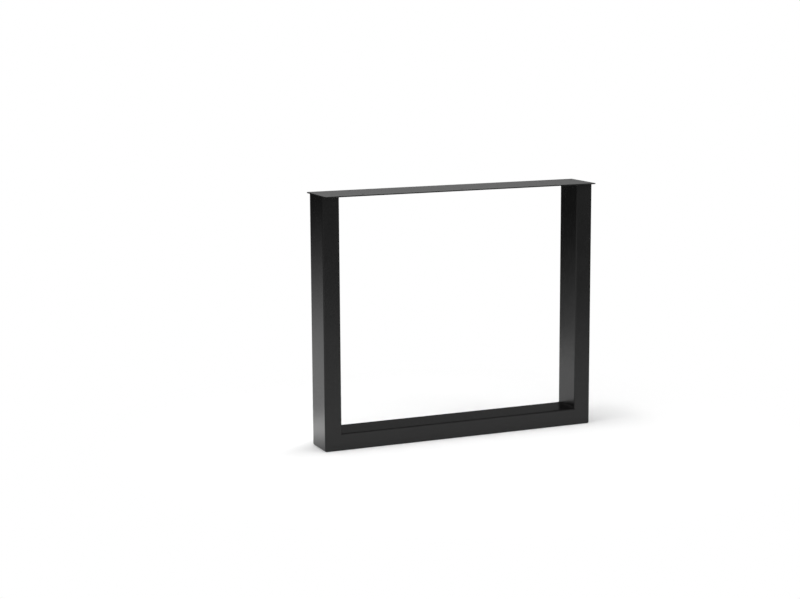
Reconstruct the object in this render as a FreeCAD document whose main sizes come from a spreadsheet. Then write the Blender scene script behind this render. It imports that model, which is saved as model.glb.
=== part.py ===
import FreeCAD, Part
import math
import os
import Sketcher
from FreeCAD import Placement, Rotation, Vector

# U shaped table leg: two tube uprights mitred onto a tube rail, under a flat plate for the table top.
# The origin is on the floor under the middle of the leg. X runs along its width, Y along its depth.

# Driving dimensions in millimetres
SIZES = (
    ("leg_width", 840, "between the outer faces of the uprights"),
    ("leg_height", 720, "floor to the top of the plate"),
    ("tube_depth", 100, "wide side of the tube, along Y"),
    ("tube_face", 50, "narrow side of the tube, seen from the front"),
    ("tube_wall", 2, "wall of the tube"),
    ("tube_edge_radius", 4, "rounding of the long edges of the tube"),
    ("corner_blend", 1, "radius of a ground mitre corner, beyond that of the long edges"),
    ("plate_thickness", 3, "top plate"),
    ("plate_overhang", 22.5, "plate past the tube, at the front and at the back"),
    ("plate_corner_radius", 3, "rounding of the plate's corners, seen from above"),
    ("plate_edge_break", 0.5, "rounding of the plate's upper and lower edges"),
    ("hole_diameter", 7, "clearance for a 6 mm wood screw"),
    ("hole_edge_distance", 22.5, "centre of a hole to the long edge of the plate"),
    ("hole_inset", 70, "centre of an end hole to the inner face of the upright"),
)
HOLES_PER_ROW = 3
HOLE_ROWS = 2

# A rolled tube's edge radius is at most this many walls
EDGE_RADIUS_LIMIT = 2.4
# Grinding a mitre corner to more than this many walls would open the tube
CORNER_RADIUS_LIMIT = 2.7
# The least inner edge radius of the tube, as a share of its wall
INNER_RADIUS_SHARE = 0.25

# Sketcher's numbers for the ends of a line or arc, the centre of an arc and the sketch origin
START, END, CENTRE = 1, 2, 3
ORIGIN = (-1, 1)


class Size:
    """A length and the expression in the document that it follows."""

    def __init__(self, value, expression):
        self.value = value
        self.expression = expression

    def __add__(self, other):
        return Size(self.value + other.value, f"({self.expression} + {other.expression})")

    def __sub__(self, other):
        return Size(self.value - other.value, f"({self.expression} - {other.expression})")

    def __mul__(self, factor):
        return Size(self.value * factor, f"({self.expression} * {factor})")

    def __truediv__(self, divisor):
        return Size(self.value / divisor, f"({self.expression} / {divisor})")


def smaller(a, b):
    return Size(min(a.value, b.value), f"min({a.expression}; {b.expression})")


def larger(a, b):
    return Size(max(a.value, b.value), f"max({a.expression}; {b.expression})")


class Sizes:
    """The sheet's driving dimensions, and those that follow from them."""

    def __init__(self, sheet):
        for alias, _, _ in SIZES:
            setattr(self, alias, Size(float(sheet.get(alias)), f"{sheet.Name}.{alias}"))
        self.edge_radius = smaller(self.tube_edge_radius, self.tube_wall * EDGE_RADIUS_LIMIT)
        ground_radius = self.edge_radius + self.corner_blend
        self.corner_radius = smaller(ground_radius, self.tube_wall * CORNER_RADIUS_LIMIT)
        self.inner_radius = larger(self.edge_radius - self.tube_wall, self.tube_wall * INNER_RADIUS_SHARE)
        self.bore_face = self.tube_face - self.tube_wall * 2
        self.bore_depth = self.tube_depth - self.tube_wall * 2
        self.upright_length = self.leg_height - self.plate_thickness
        self.upright_offset = (self.leg_width - self.tube_face) / 2
        self.plate_depth = self.tube_depth + self.plate_overhang * 2
        self.hole_half_length = self.leg_width / 2 - self.tube_face - self.hole_inset
        self.hole_half_depth = self.plate_depth / 2 - self.hole_edge_distance


def make_sheet(doc):
    """One row for each driving dimension: its value under an alias, then what it measures."""
    sheet = doc.addObject("Spreadsheet::Sheet", "Dimensions")
    for row, (alias, value, meaning) in enumerate(SIZES, 1):
        sheet.set(f"A{row}", str(value))
        sheet.setAlias(f"A{row}", alias)
        sheet.set(f"B{row}", meaning)
    doc.recompute()
    return sheet


def new_body(doc, label):
    body = doc.addObject("PartDesign::Body", label)
    body.Label = label
    return body


def origin_feature(body, role):
    """One of the body's own origin planes or axes."""
    for feature in body.Origin.OriginFeatures:
        if feature.Role == role:
            return feature
    raise ValueError(f"{body.Label} has no {role}")


def new_sketch(body, name, plane):
    """An empty sketch on one of the body's origin planes."""
    sketch = body.newObject("Sketcher::SketchObject", name)
    sketch.AttachmentSupport = [(origin_feature(body, plane), "")]
    sketch.MapMode = "FlatFace"
    return sketch


def follow(item, prop, size):
    """Bind a property of a document object to a size."""
    item.setExpression(prop, size.expression)


def relate(sketch, kind, *where):
    """A geometric constraint, such as Coincident or Tangent."""
    sketch.addConstraint(Sketcher.Constraint(kind, *where))


def dimension(sketch, kind, where, name, size):
    """A named dimension of the sketch that follows a size."""
    index = sketch.addConstraint(Sketcher.Constraint(kind, *where, size.value))
    sketch.renameConstraint(index, name)
    follow(sketch, f"Constraints.{name}", size)


def draw_rectangle(sketch, width, height):
    """A rectangle about the sketch origin."""
    x = width.value / 2
    y = height.value / 2
    corners = [Vector(-x, -y), Vector(x, -y), Vector(x, y), Vector(-x, y)]
    for corner, after in zip(corners, corners[1:] + corners[:1]):
        sketch.addGeometry(Part.LineSegment(corner, after))
    for side in range(4):
        relate(sketch, "Coincident", side, END, (side + 1) % 4, START)
        relate(sketch, "Vertical" if side % 2 else "Horizontal", side)
    relate(sketch, "Symmetric", 0, START, 1, END, *ORIGIN)
    dimension(sketch, "DistanceX", (0, START, 0, END), "width", width)
    dimension(sketch, "DistanceY", (1, START, 1, END), "height", height)


def draw_rounded_rectangle(sketch, width, height, radius):
    """A rectangle about the sketch origin with four equal round corners."""
    r = radius.value
    x = width.value / 2
    y = height.value / 2
    sides = [
        (Vector(r - x, -y), Vector(x - r, -y)),
        (Vector(x, r - y), Vector(x, y - r)),
        (Vector(x - r, y), Vector(r - x, y)),
        (Vector(-x, y - r), Vector(-x, r - y)),
    ]
    centres = [Vector(x - r, r - y), Vector(x - r, y - r), Vector(r - x, y - r), Vector(r - x, r - y)]
    for start, end in sides:
        sketch.addGeometry(Part.LineSegment(start, end))
    for quarter, centre in enumerate(centres):
        first = (quarter - 1) * math.pi / 2
        circle = Part.Circle(centre, Vector(0, 0, 1), r)
        sketch.addGeometry(Part.ArcOfCircle(circle, first, first + math.pi / 2))
    for side in range(4):
        arc = side + 4
        relate(sketch, "Vertical" if side % 2 else "Horizontal", side)
        relate(sketch, "Tangent", side, END, arc, START)
        relate(sketch, "Tangent", arc, END, (side + 1) % 4, START)
    for arc in (5, 6, 7):
        relate(sketch, "Equal", 4, arc)
    relate(sketch, "Symmetric", 4, CENTRE, 6, CENTRE, *ORIGIN)
    dimension(sketch, "Radius", (4,), "radius", radius)
    dimension(sketch, "DistanceX", (3, START, 1, START), "width", width)
    dimension(sketch, "DistanceY", (0, START, 2, END), "height", height)


def draw_mitre(sketch, sizes, outer_face, stands):
    """The waste beyond a 45 degree mitre whose outer corner is ground round.

    The mitre runs from the outer bottom corner of the leg up to the inner corner. An upright, which
    stands on it, loses what is below the line, and the rail loses what is above it.
    """
    radius = sizes.corner_radius
    margin = sizes.tube_wall
    r = radius.value
    x = outer_face.value
    outside = Vector(x + margin.value, -margin.value)
    beyond = Vector(x - sizes.tube_face.value - margin.value, sizes.tube_face.value + margin.value)
    on_line = Vector(x - r + r * math.cos(math.pi / 4), r - r * math.sin(math.pi / 4))
    if stands:
        across, along = "Horizontal", "Vertical"
        at_face, at_mitre = END, START
        first_angle = -math.pi / 4
        leaving = [Vector(x, r), Vector(outside.x, r)]
        returning = Vector(beyond.x, outside.y)
    else:
        across, along = "Vertical", "Horizontal"
        at_face, at_mitre = START, END
        first_angle = -math.pi / 2
        leaving = [Vector(x - r, 0), Vector(x - r, outside.y)]
        returning = Vector(outside.x, beyond.y)
    points = [*leaving, outside, returning, beyond, on_line]

    circle = Part.Circle(Vector(x - r, r), Vector(0, 0, 1), r)
    arc = sketch.addGeometry(Part.ArcOfCircle(circle, first_angle, first_angle + math.pi / 4))
    lines = [sketch.addGeometry(Part.LineSegment(a, b)) for a, b in zip(points, points[1:])]
    mitre = lines[-1]
    to_outside = lines[1]
    relate(sketch, "Coincident", arc, at_face, lines[0], START)
    for line, after in zip(lines, lines[1:]):
        relate(sketch, "Coincident", line, END, after, START)
    relate(sketch, "Coincident", mitre, END, arc, at_mitre)
    for number, line in enumerate(lines[:-1]):
        relate(sketch, along if number % 2 else across, line)
    relate(sketch, across, arc, CENTRE, arc, at_face)
    relate(sketch, "PointOnObject", arc, CENTRE, mitre)
    relate(sketch, "Angle", mitre, -math.pi / 4)
    dimension(sketch, "Radius", (arc,), "radius", radius)
    dimension(sketch, "DistanceX", (*ORIGIN, arc, CENTRE), "centre_x", outer_face - radius)
    dimension(sketch, "DistanceY", (*ORIGIN, arc, CENTRE), "centre_z", radius)
    dimension(sketch, "DistanceX", (arc, CENTRE, to_outside, END), "past_face", radius + margin)
    dimension(sketch, "DistanceY", (to_outside, END, *ORIGIN), "past_floor", margin)
    dimension(sketch, "DistanceX", (mitre, START, to_outside, END), "span", sizes.tube_face + margin * 2)


def pad(body, sketch, name, length, symmetric=False):
    """Extrude a sketch, to one side or about its plane."""
    feature = body.newObject("PartDesign::Pad", name)
    feature.Profile = sketch
    feature.SideType = "Symmetric" if symmetric else "One side"
    follow(feature, "Length", length)
    body.Document.recompute()
    return feature


def check_cut(feature, before):
    """Stop if a cut took nothing away."""
    if not feature.Shape.Volume < before:
        raise RuntimeError(f"{feature.Label} removes nothing")


def cut_through(body, sketch, name, reverse=False, symmetric=False):
    """Cut a sketch's outline through the whole body."""
    before = body.Shape.Volume
    feature = body.newObject("PartDesign::Pocket", name)
    feature.Profile = sketch
    feature.Type = "ThroughAll"
    feature.SideType = "Symmetric" if symmetric else "One side"
    feature.Reversed = reverse
    body.Document.recompute()
    check_cut(feature, before)
    return feature


def round_edges(body, base, name, edges, radius):
    """Fillet the numbered edges of a feature."""
    feature = body.newObject("PartDesign::Fillet", name)
    feature.Base = (base, [f"Edge{number}" for number in edges])
    follow(feature, "Radius", radius)
    body.Document.recompute()


def is_along(edge, direction):
    """Whether an edge is straight and parallel to a direction."""
    return isinstance(edge.Curve, Part.Line) and abs(edge.Curve.Direction.dot(direction)) > 0.999


def edges_along(shape, direction):
    """The straight edges along a direction, and the arcs that carry them round a ground corner."""
    numbered = enumerate(shape.Edges, 1)
    return [n for n, edge in numbered if is_along(edge, direction) or isinstance(edge.Curve, Part.Circle)]


def make_upright(doc, sizes, label, side):
    """A tube that stands on its mitre. The right one has side 1, and the left one is turned half round."""
    body = new_body(doc, label)
    turn = 0 if side > 0 else 180
    body.Placement = Placement(Vector(0, 0, 0), Rotation(Vector(0, 0, 1), turn))
    follow(body, "Placement.Base.x", sizes.upright_offset * side)

    section = new_sketch(body, f"{label}_section", "XY_Plane")
    draw_rectangle(section, sizes.tube_face, sizes.tube_depth)
    pad(body, section, f"{label}_bar", sizes.upright_length)

    mitre = new_sketch(body, f"{label}_mitre", "XZ_Plane")
    draw_mitre(mitre, sizes, sizes.tube_face / 2, stands=True)
    mitred = cut_through(body, mitre, f"{label}_mitre_cut", symmetric=True)

    edges = edges_along(mitred.Shape, Vector(0, 0, 1))
    round_edges(body, mitred, f"{label}_edges", edges, sizes.edge_radius)

    bore = new_sketch(body, f"{label}_bore", "XY_Plane")
    draw_rounded_rectangle(bore, sizes.bore_face, sizes.bore_depth, sizes.inner_radius)
    cut_through(body, bore, f"{label}_bore_cut", reverse=True)
    return body


def make_rail(doc, sizes, label):
    """The tube along the floor, mitred at both ends."""
    body = new_body(doc, label)
    middle_height = sizes.tube_face / 2

    section = new_sketch(body, f"{label}_section", "YZ_Plane")
    draw_rectangle(section, sizes.tube_depth, sizes.tube_face)
    follow(section, "AttachmentOffset.Base.y", middle_height)
    pad(body, section, f"{label}_bar", sizes.leg_width, symmetric=True)

    mitre = new_sketch(body, f"{label}_mitre", "XZ_Plane")
    draw_mitre(mitre, sizes, sizes.leg_width / 2, stands=False)
    right_end = cut_through(body, mitre, f"{label}_right_mitre", symmetric=True)

    before = body.Shape.Volume
    both_ends = body.newObject("PartDesign::Mirrored", f"{label}_left_mitre")
    both_ends.Originals = [right_end]
    both_ends.MirrorPlane = (origin_feature(body, "YZ_Plane"), [""])
    body.Tip = both_ends
    doc.recompute()
    check_cut(both_ends, before)

    edges = edges_along(both_ends.Shape, Vector(1, 0, 0))
    round_edges(body, both_ends, f"{label}_edges", edges, sizes.edge_radius)

    bore = new_sketch(body, f"{label}_bore", "YZ_Plane")
    draw_rounded_rectangle(bore, sizes.bore_depth, sizes.bore_face, sizes.inner_radius)
    follow(bore, "AttachmentOffset.Base.y", middle_height)
    cut_through(body, bore, f"{label}_bore_cut", symmetric=True)
    return body


def drill_plate(body, sizes, label):
    """Rows of plain screw holes along the plate's long edges."""
    spot = new_sketch(body, f"{label}_hole_spot", "XY_Plane")
    centre = Vector(-sizes.hole_half_length.value, -sizes.hole_half_depth.value)
    spot.addGeometry(Part.Circle(centre, Vector(0, 0, 1), sizes.hole_diameter.value / 2))
    dimension(spot, "Diameter", (0,), "diameter", sizes.hole_diameter)
    dimension(spot, "DistanceX", (0, CENTRE, *ORIGIN), "from_middle_x", sizes.hole_half_length)
    dimension(spot, "DistanceY", (0, CENTRE, *ORIGIN), "from_middle_y", sizes.hole_half_depth)
    first = cut_through(body, spot, f"{label}_first_hole", reverse=True)

    before = body.Shape.Volume
    pattern = body.newObject("PartDesign::LinearPattern", f"{label}_holes")
    pattern.Originals = [first]
    pattern.Direction = (origin_feature(body, "X_Axis"), [""])
    pattern.Direction2 = (origin_feature(body, "Y_Axis"), [""])
    follow(pattern, "Length", sizes.hole_half_length * 2)
    follow(pattern, "Length2", sizes.hole_half_depth * 2)
    pattern.Occurrences = HOLES_PER_ROW
    pattern.Occurrences2 = HOLE_ROWS
    body.Tip = pattern
    body.Document.recompute()
    check_cut(pattern, before)


def make_plate(doc, sizes, label):
    """The flat plate on the uprights, with its ends flush with their outer faces."""
    body = new_body(doc, label)
    follow(body, "Placement.Base.z", sizes.upright_length)

    outline = new_sketch(body, f"{label}_outline", "XY_Plane")
    draw_rounded_rectangle(outline, sizes.leg_width, sizes.plate_depth, sizes.plate_corner_radius)
    sheet = pad(body, outline, f"{label}_sheet", sizes.plate_thickness)

    upright = Vector(0, 0, 1)
    rims = [n for n, edge in enumerate(sheet.Shape.Edges, 1) if not is_along(edge, upright)]
    round_edges(body, sheet, f"{label}_rims", rims, sizes.plate_edge_break)
    drill_plate(body, sizes, label)
    return body


def check_document(doc, bodies):
    """Stop if a feature failed, or if a piece isn't one valid solid."""
    for item in doc.Objects:
        if "Invalid" in item.State or "Error" in item.State:
            raise RuntimeError(f"{item.Label} failed: {item.State}")
    for body in bodies:
        shape = body.Shape
        if shape.isNull() or not shape.isValid() or len(shape.Solids) != 1:
            raise RuntimeError(f"{body.Label} is not one valid solid")


def main():
    doc = FreeCAD.newDocument("u_shaped_table_leg")
    sizes = Sizes(make_sheet(doc))
    bodies = [
        make_upright(doc, sizes, "left_upright", -1),
        make_upright(doc, sizes, "right_upright", 1),
        make_rail(doc, sizes, "bottom_rail"),
        make_plate(doc, sizes, "top_plate"),
    ]
    doc.recompute()
    check_document(doc, bodies)
    os.makedirs("parts", exist_ok=True)
    for body in bodies:
        body.Shape.exportStep(f"parts/{body.Label}.step")


main()
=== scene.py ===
import math

import bmesh
import bpy
from mathutils import Matrix, Vector, noise


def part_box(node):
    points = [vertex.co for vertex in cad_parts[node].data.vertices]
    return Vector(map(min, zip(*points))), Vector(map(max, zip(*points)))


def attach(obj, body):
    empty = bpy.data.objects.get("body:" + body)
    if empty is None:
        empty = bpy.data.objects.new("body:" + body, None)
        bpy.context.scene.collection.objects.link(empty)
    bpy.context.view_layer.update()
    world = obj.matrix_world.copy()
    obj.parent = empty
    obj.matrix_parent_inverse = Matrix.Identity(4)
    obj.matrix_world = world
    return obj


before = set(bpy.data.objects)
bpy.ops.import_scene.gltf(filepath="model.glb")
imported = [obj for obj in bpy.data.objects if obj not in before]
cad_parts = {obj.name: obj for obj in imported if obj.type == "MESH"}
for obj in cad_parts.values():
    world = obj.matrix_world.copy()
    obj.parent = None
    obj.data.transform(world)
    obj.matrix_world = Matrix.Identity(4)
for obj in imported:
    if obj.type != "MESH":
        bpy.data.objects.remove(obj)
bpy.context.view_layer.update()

MM = 0.001
SLOT = "powder_coat"
NODE_SPACING = 200
STAGE_SEGMENTS = 96

# Camera in metres and degrees, lens in millimetres: left of the leg's front and above its top
CAMERA_PLACE = (-2.1125, -4.5334, 1.2427)
CAMERA_YAW = 23.202
CAMERA_PITCH = -9.597
CAMERA_ROLL = -0.328
CAMERA_LENS = 79.32
SENSOR_WIDTH = 36.0

# Floor in metres: lit round the leg, plain white further out
FLOOR_RADIUS = 60.0
FLOOR_ALBEDO = 0.8
FLOOR_LIT_RADIUS = 0.55
FLOOR_WHITE_RADIUS = 1.05

# Light: the even light from all round, and lamps in metres, watts and degrees
AMBIENT = 0.43
LAMPS = {
    "top_lamp": {"place": (-0.35, -0.3, 2.6), "aim": (0, 0, 0.2), "size": (2.4, 2.0), "power": 44},
    "key_lamp": {"place": (-0.1, -0.1, 2.6), "aim": (0, 0, 0.2), "size": (0.3, 0.3), "power": 10},
    "front_lamp": {"place": (2.2, -2.6, 1.9), "aim": (0, 0, 0.3), "size": (1.6, 1.2), "power": 25},
    "floor_lamp": {"place": (-0.9, 1.2, 1.8), "aim": (-0.525, 0.235, 0), "size": (0.1, 0.1),
                   "power": 0.23, "spread": 10.5},
}

# Painted reflections that only the coat's gloss shows: a round glowing wall and a ceiling, in metres,
# with white as level 1
WALL_CENTRE = (0.0, -0.45)
WALL_RADIUS = 1.55
WALL_HEIGHT = 1.3

# Painted reflection on the wall, from front to back
WALL_FRONT_Y = 0.0
WALL_BACK_Y = 0.7
WALL_FRONT_LEVEL = 0.2
WALL_BACK_LEVEL = 0.005

# Painted light added high on the wall
HIGH_FROM_Z = 0.9
HIGH_TO_Z = 1.4
HIGH_LEVEL = 0.35

# Painted light added on the wall's right side, stronger towards its top
RIGHT_FROM_X = -0.4
RIGHT_TO_X = 0.0
RIGHT_LOW_Z = 0.55
RIGHT_TOP_Z = 0.95
RIGHT_LOW_LEVEL = 0.07
RIGHT_TOP_LEVEL = 0.38

# Painted glow on the wall's foot, stronger on the left
GLOW_LEFT_X = -0.8
GLOW_RIGHT_X = 0.1
GLOW_LEFT_LEVEL = 1.0
GLOW_RIGHT_LEVEL = 0.15
GLOW_LEFT_HEIGHT = 0.325
GLOW_RIGHT_HEIGHT = 0.21

# Painted reflection on the ceiling, from front to back
CEILING_FRONT_Y = 0.05
CEILING_BACK_Y = 0.5
CEILING_FRONT_LEVEL = 0.05
CEILING_BACK_LEVEL = 0.45

# Powder coat: slight clouds in its black and its gloss, and a fine orange peel
COAT_BLACK = 0.005
COAT_BLACK_SPREAD = 0.001
COAT_ROUGHNESS = 0.24
COAT_ROUGHNESS_SPREAD = 0.015
COAT_IOR = 1.5
COAT_SPECULAR = 0.35
CLOUD_SIZE = 60 * MM
CLOUD_DETAIL = 5.0
CLOUD_LOW = 0.3
CLOUD_HIGH = 0.7
PEEL_SIZE = 1.5 * MM
PEEL_DETAIL = 2.0
PEEL_HEIGHT = 0.13 * MM

# Welds: fillet beads under the plate and in the two inner corners
TUBE_RADIUS = 4 * MM
PLATE_WELD_LEG = 3.5 * MM
PLATE_WELD_SEED = 0
CORNER_WELD_LEG = 2.6 * MM
CORNER_WELD_SEED = 10
WELD_STEP = 0.4 * MM
WELD_FACE_POINTS = 9
WELD_ROOT = 0.4 * MM
WELD_END = 3.0 * MM
UNEVEN_SIZE = 9 * MM
RIPPLE_PITCH = 1.9 * MM

# Weld forms as shares of the bead's leg, and the ripples' bend as a share of their pitch
BULGE_SHARE = 0.12
END_SHARE = 0.45
UNEVEN_SHARE = 0.10
RIPPLE_SHARE = 0.07
RIPPLE_BEND = 0.55


def grey(level):
    """A grey as an opaque colour."""
    return (level, level, level, 1.0)


def new_node(tree, kind, **inputs):
    """A shader node, set beside the ones before it, with socket values by name."""
    node = tree.nodes.new(kind)
    node.location.x = NODE_SPACING * len(tree.nodes)
    for name, value in inputs.items():
        node.inputs[name.replace("_", " ")].default_value = value
    return node


def calculate(tree, operation, *terms):
    """The result of a maths node on sockets and plain numbers."""
    node = new_node(tree, "ShaderNodeMath")
    node.operation = operation
    for socket, term in zip(node.inputs, terms):
        if isinstance(term, bpy.types.NodeSocket):
            tree.links.new(term, socket)
        else:
            socket.default_value = term
    return node.outputs[0]


def map_range(tree, source, start, end, first, last, curve="SMOOTHSTEP"):
    """A value that goes from first to last while the source goes from start to end."""
    node = new_node(tree, "ShaderNodeMapRange", From_Min=start, From_Max=end, To_Min=first, To_Max=last)
    node.interpolation_type = curve
    tree.links.new(source, node.inputs["Value"])
    return node.outputs["Result"]


def mix_shaders(tree, share, first, second):
    """The first shader where the share is 0, the second where it is 1."""
    node = new_node(tree, "ShaderNodeMixShader")
    for socket, source in zip(node.inputs, (share, first, second)):
        tree.links.new(source, socket)
    return node.outputs[0]


def seen_directly(tree):
    """1 for rays from the camera, a reflection or a clear material, 0 for light that falls on things."""
    path = new_node(tree, "ShaderNodeLightPath").outputs
    camera_or_glossy = calculate(tree, "MAXIMUM", path["Is Camera Ray"], path["Is Glossy Ray"])
    return calculate(tree, "MAXIMUM", camera_or_glossy, path["Is Transmission Ray"])


def object_place(tree):
    """The place of a surface point in the object's own frame."""
    return new_node(tree, "ShaderNodeTexCoord").outputs["Object"]


def show(tree, shader, output="ShaderNodeOutputMaterial"):
    """A shader linked to its tree's output."""
    tree.links.new(shader, new_node(tree, output).inputs["Surface"])


def empty_material(name):
    """A material with no nodes yet."""
    material = bpy.data.materials.new(name)
    material.use_nodes = True
    material.node_tree.nodes.clear()
    return material


def add_mesh(name, shape, material):
    """A new object in the scene, from a bmesh."""
    mesh = bpy.data.meshes.new(name)
    shape.to_mesh(mesh)
    shape.free()
    mesh.materials.append(material)
    added = bpy.data.objects.new(name, mesh)
    bpy.context.scene.collection.objects.link(added)
    return added


def make_camera():
    yaw = math.radians(CAMERA_YAW)
    pitch = math.radians(CAMERA_PITCH)
    level = math.cos(pitch)
    forward = Vector((math.sin(yaw) * level, math.cos(yaw) * level, math.sin(pitch)))
    turn = forward.to_track_quat("-Z", "Y").to_matrix().to_4x4()
    roll = Matrix.Rotation(math.radians(CAMERA_ROLL), 4, "Z")
    data = bpy.data.cameras.new("camera")
    data.lens = CAMERA_LENS
    data.sensor_width = SENSOR_WIDTH
    data.clip_end = 2 * FLOOR_RADIUS
    camera = bpy.data.objects.new("camera", data)
    camera.matrix_world = Matrix.Translation(CAMERA_PLACE) @ turn @ roll
    bpy.context.scene.collection.objects.link(camera)
    bpy.context.scene.camera = camera


def make_world():
    """Even light on things, and plain white where the world itself is seen."""
    world = bpy.data.worlds.new("studio")
    world.use_nodes = True
    bpy.context.scene.world = world
    tree = world.node_tree
    tree.nodes.clear()
    light = new_node(tree, "ShaderNodeBackground", Color=grey(1.0), Strength=AMBIENT)
    white = new_node(tree, "ShaderNodeBackground", Color=grey(1.0), Strength=1.0)
    mix = mix_shaders(tree, seen_directly(tree), light.outputs[0], white.outputs[0])
    show(tree, mix, "ShaderNodeOutputWorld")


def floor_material():
    """Pale floor that takes the leg's shadow near it and runs out into the white background."""
    material = empty_material("floor")
    tree = material.node_tree
    distance = new_node(tree, "ShaderNodeVectorMath")
    distance.operation = "LENGTH"
    tree.links.new(object_place(tree), distance.inputs[0])
    far = map_range(tree, distance.outputs["Value"], FLOOR_LIT_RADIUS, FLOOR_WHITE_RADIUS, 0.0, 1.0)
    lit = new_node(tree, "ShaderNodeBsdfDiffuse", Color=grey(FLOOR_ALBEDO))
    lift = new_node(tree, "ShaderNodeEmission", Color=grey(1.0), Strength=1.0 - FLOOR_ALBEDO)
    near = new_node(tree, "ShaderNodeAddShader")
    tree.links.new(lit.outputs[0], near.inputs[0])
    tree.links.new(lift.outputs[0], near.inputs[1])
    white = new_node(tree, "ShaderNodeEmission", Color=grey(1.0), Strength=1.0)
    seen = mix_shaders(tree, far, near.outputs[0], white.outputs[0])
    show(tree, mix_shaders(tree, seen_directly(tree), lit.outputs[0], seen))
    return material


def make_floor():
    shape = bmesh.new()
    bmesh.ops.create_circle(shape, cap_ends=True, segments=STAGE_SEGMENTS, radius=FLOOR_RADIUS)
    floor = add_mesh("floor", shape, floor_material())


def painted_wall_reflection(tree, place):
    """Painted reflection on the wall: dark, paler in front, high up and on its right, with a painted
    glow at its foot.
    """
    x, y, z = place
    around = map_range(tree, y, WALL_FRONT_Y, WALL_BACK_Y, WALL_FRONT_LEVEL, WALL_BACK_LEVEL)
    high = map_range(tree, z, HIGH_FROM_Z, HIGH_TO_Z, 0.0, HIGH_LEVEL)
    right_side = map_range(tree, x, RIGHT_FROM_X, RIGHT_TO_X, 0.0, 1.0)
    right = map_range(tree, z, RIGHT_LOW_Z, RIGHT_TOP_Z, RIGHT_LOW_LEVEL, RIGHT_TOP_LEVEL)
    glow = map_range(tree, x, GLOW_LEFT_X, GLOW_RIGHT_X, GLOW_LEFT_LEVEL, GLOW_RIGHT_LEVEL)
    glow_height = map_range(tree, x, GLOW_LEFT_X, GLOW_RIGHT_X, GLOW_LEFT_HEIGHT, GLOW_RIGHT_HEIGHT)
    rise = calculate(tree, "DIVIDE", z, glow_height)
    square = calculate(tree, "MULTIPLY", rise, rise)
    fall = calculate(tree, "EXPONENT", calculate(tree, "MULTIPLY", square, -1.0))
    wall = calculate(tree, "ADD", around, high)
    wall_and_right = calculate(tree, "MULTIPLY_ADD", right, right_side, wall)
    return calculate(tree, "MULTIPLY_ADD", glow, fall, wall_and_right)


def painted_ceiling_reflection(tree, place):
    """Painted reflection on the ceiling: dark in front and paler towards the back."""
    return map_range(tree, place["Y"], CEILING_FRONT_Y, CEILING_BACK_Y,
                     CEILING_FRONT_LEVEL, CEILING_BACK_LEVEL)


def painted_reflection_material(name, level):
    """A surface that glows, though it is no lamp, at the painted level worked out for each place in the
    studio.
    """
    material = empty_material(name)
    tree = material.node_tree
    place = new_node(tree, "ShaderNodeSeparateXYZ")
    tree.links.new(object_place(tree), place.inputs[0])
    light = new_node(tree, "ShaderNodeEmission", Color=grey(1.0))
    tree.links.new(level(tree, place.outputs), light.inputs["Strength"])
    show(tree, light.outputs[0])
    return material


def painted_reflection_piece(name, shape, level):
    """A painted reflection: a glowing piece that only the coat's gloss shows."""
    piece = add_mesh(name, shape, painted_reflection_material(name, level))
    piece.visible_camera = False
    piece.visible_diffuse = False
    piece.visible_shadow = False


def make_painted_reflections():
    """The painted reflections: the dark glowing wall round the pale floor, and the ceiling on it."""
    wall = bmesh.new()
    wall_middle = Matrix.Translation((*WALL_CENTRE, WALL_HEIGHT / 2))
    bmesh.ops.create_cone(wall, segments=STAGE_SEGMENTS, radius1=WALL_RADIUS, radius2=WALL_RADIUS,
                          depth=WALL_HEIGHT, matrix=wall_middle)
    painted_reflection_piece("painted_reflection_wall", wall, painted_wall_reflection)
    ceiling = bmesh.new()
    wall_top = Matrix.Translation((*WALL_CENTRE, WALL_HEIGHT))
    bmesh.ops.create_circle(ceiling, cap_ends=True, segments=STAGE_SEGMENTS, radius=WALL_RADIUS,
                            matrix=wall_top)
    painted_reflection_piece("painted_reflection_ceiling", ceiling, painted_ceiling_reflection)


def area_lamp(name, place, aim, size, power, spread=180):
    """A lamp that shines from its place towards its aim."""
    data = bpy.data.lights.new(name, "AREA")
    data.shape = "RECTANGLE"
    data.size, data.size_y = size
    data.energy = power
    data.spread = math.radians(spread)
    lamp = bpy.data.objects.new(name, data)
    lamp.location = place
    direction = Vector(aim) - Vector(place)
    lamp.rotation_euler = direction.to_track_quat("-Z", "Y").to_euler()
    bpy.context.scene.collection.objects.link(lamp)


def make_lamps():
    for name, values in LAMPS.items():
        area_lamp(name, **values)


def noise_texture(tree, size, detail):
    """Noise with grains of about the given size."""
    texture = new_node(tree, "ShaderNodeTexNoise", Scale=1 / size, Detail=detail)
    tree.links.new(object_place(tree), texture.inputs["Vector"])
    return texture.outputs["Fac"]


def clouded(tree, clouds, middle, spread):
    """A value that the clouds vary by the spread to either side of its middle."""
    return map_range(tree, clouds, CLOUD_LOW, CLOUD_HIGH, middle - spread, middle + spread, "LINEAR")


def powder_coat():
    """Satin black powder coat with a fine orange peel and slight clouds in its tone and gloss."""
    material = bpy.data.materials.new(SLOT)
    material.use_nodes = True
    tree = material.node_tree
    shader = tree.nodes["Principled BSDF"]
    shader.inputs["IOR"].default_value = COAT_IOR
    shader.inputs["Specular IOR Level"].default_value = COAT_SPECULAR
    clouds = noise_texture(tree, CLOUD_SIZE, CLOUD_DETAIL)
    black = clouded(tree, clouds, COAT_BLACK, COAT_BLACK_SPREAD)
    roughness = clouded(tree, clouds, COAT_ROUGHNESS, COAT_ROUGHNESS_SPREAD)
    peel = noise_texture(tree, PEEL_SIZE, PEEL_DETAIL)
    bump = new_node(tree, "ShaderNodeBump", Strength=1.0, Distance=PEEL_HEIGHT)
    tree.links.new(black, shader.inputs["Base Color"])
    tree.links.new(roughness, shader.inputs["Roughness"])
    tree.links.new(peel, bump.inputs["Height"])
    tree.links.new(bump.outputs["Normal"], shader.inputs["Normal"])
    return material


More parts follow.
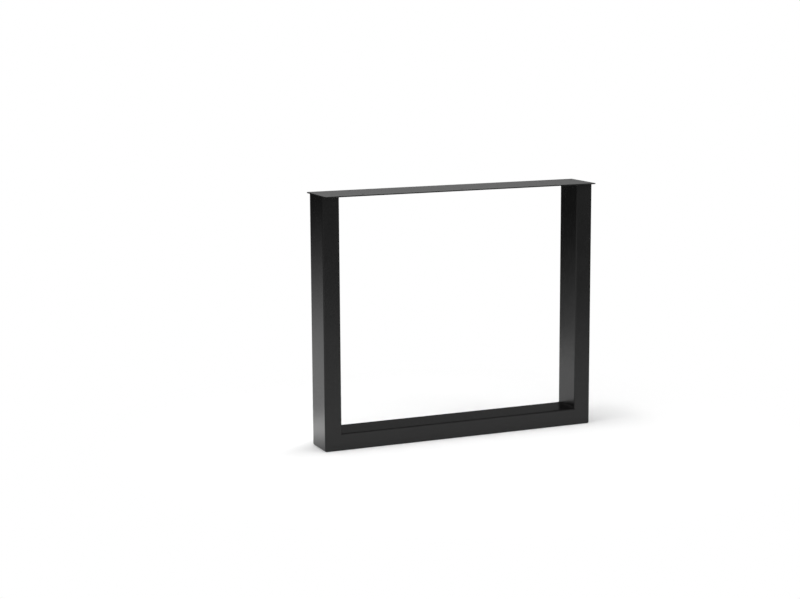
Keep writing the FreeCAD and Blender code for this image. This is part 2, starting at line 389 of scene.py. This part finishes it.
def straight_run(start, end):
    """Points from start to end, about one step apart."""
    start, end = Vector(start), Vector(end)
    steps = max(1, round((end - start).length / WELD_STEP))
    return [start.lerp(end, i / steps) for i in range(steps + 1)]


def corner_stations(side):
    """Stations of the bead in an inner corner, front to back: root, way along the rail, way up."""
    rail_low, rail_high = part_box("bottom_rail")
    upright_low, upright_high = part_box(side + "_upright")
    hand = math.copysign(1, upright_low.x)
    inner = hand * min(abs(upright_low.x), abs(upright_high.x))
    front, back = rail_low.y + TUBE_RADIUS, rail_high.y - TUBE_RADIUS
    points = straight_run((inner, front, rail_high.z), (inner, back, rail_high.z))
    return [(point, Vector((-hand, 0, 0)), Vector((0, 0, 1))) for point in points]


def plate_stations(side):
    """Stations of the bead under the plate: from the front, round the tube's inner side, to the back."""
    low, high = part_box(side + "_upright")
    hand = math.copysign(1, low.x)
    inner, outer = sorted((abs(low.x), abs(high.x)))
    inward = Vector((-hand, 0, 0))
    down = Vector((0, 0, -1))
    start_x = hand * (outer - TUBE_RADIUS)
    turn_x = hand * (inner + TUBE_RADIUS)
    turns = max(1, round(TUBE_RADIUS * math.pi / 2 / WELD_STEP))
    ends = []
    for y in (low.y, high.y):
        away = Vector((0, math.copysign(1, y), 0))
        points = straight_run((start_x, y, high.z), (turn_x, y, high.z))
        stations = [(point, away, down) for point in points]
        middle = Vector((turn_x, y - away.y * TUBE_RADIUS, high.z))
        for i in range(1, turns):
            angle = math.pi / 2 * i / turns
            out = away * math.cos(angle) + inward * math.sin(angle)
            stations.append((middle + out * TUBE_RADIUS, out, down))
        ends.append(stations)
    front, back = ends
    side_front = (hand * inner, low.y + TUBE_RADIUS, high.z)
    side_back = (hand * inner, high.y - TUBE_RADIUS, high.z)
    along = [(point, inward, down) for point in straight_run(side_front, side_back)]
    return front + along + back[::-1]


def bead_ring(station, leg, travelled, length, seed):
    """The bead's section: its rippled face from one leg to the other, and its root in the corner."""
    root, first, second = station
    outward = (first + second).normalized()
    to_end = min(travelled, length - travelled)
    end = min(1.0, to_end / WELD_END)
    size = leg * (END_SHARE + (1 - END_SHARE) * math.sqrt(end * (2 - end)))
    size *= 1 + UNEVEN_SHARE * noise.noise(Vector((travelled / UNEVEN_SIZE, seed, 0)))
    ring = []
    for i in range(WELD_FACE_POINTS):
        share = i / (WELD_FACE_POINTS - 1)
        across = 2 * share - 1
        phase = travelled / RIPPLE_PITCH + RIPPLE_BEND * across * across
        crown = math.sin(math.pi * share)
        ripple = RIPPLE_SHARE * abs(math.cos(math.pi * phase)) * math.sqrt(crown)
        swell = outward * (BULGE_SHARE * crown + ripple)
        ring.append(root + size * (first * (1 - share) + second * share + swell))
    ring.append(root - outward * WELD_ROOT)
    return ring


def weld_bead(name, stations, leg, coat, seed):
    """A fillet weld with the ripples of its run, as one closed mesh."""
    travelled = [0.0]
    for before, after in zip(stations, stations[1:]):
        travelled.append(travelled[-1] + (after[0] - before[0]).length)
    length = travelled[-1]
    rings = [bead_ring(station, leg, way, length, seed) for station, way in zip(stations, travelled)]
    shape = bmesh.new()
    rows = [[shape.verts.new(point) for point in ring] for ring in rings]
    around = len(rows[0])
    for row, following in zip(rows, rows[1:]):
        for i in range(around):
            j = (i + 1) % around
            shape.faces.new((row[i], row[j], following[j], following[i]))
    shape.faces.new(rows[0])
    shape.faces.new(rows[-1][::-1])
    bmesh.ops.recalc_face_normals(shape, faces=shape.faces)
    for face in shape.faces:
        face.smooth = True
    bead = add_mesh(name, shape, coat)
    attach(bead, "root")


def make_welds(coat):
    for i, side in enumerate(("left", "right")):
        weld_bead("plate_weld_" + side, plate_stations(side), PLATE_WELD_LEG, coat, PLATE_WELD_SEED + i)
        weld_bead("corner_weld_" + side, corner_stations(side), CORNER_WELD_LEG, coat,
                  CORNER_WELD_SEED + i)


def dress(coat):
    """The coat goes on every CAD node."""
    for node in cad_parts.values():
        node.data.materials.clear()
        node.data.materials.append(coat)


bpy.context.scene.view_settings.view_transform = "Standard"
make_camera()
make_world()
make_floor()
make_painted_reflections()
make_lamps()
coat = powder_coat()
dress(coat)
make_welds(coat)
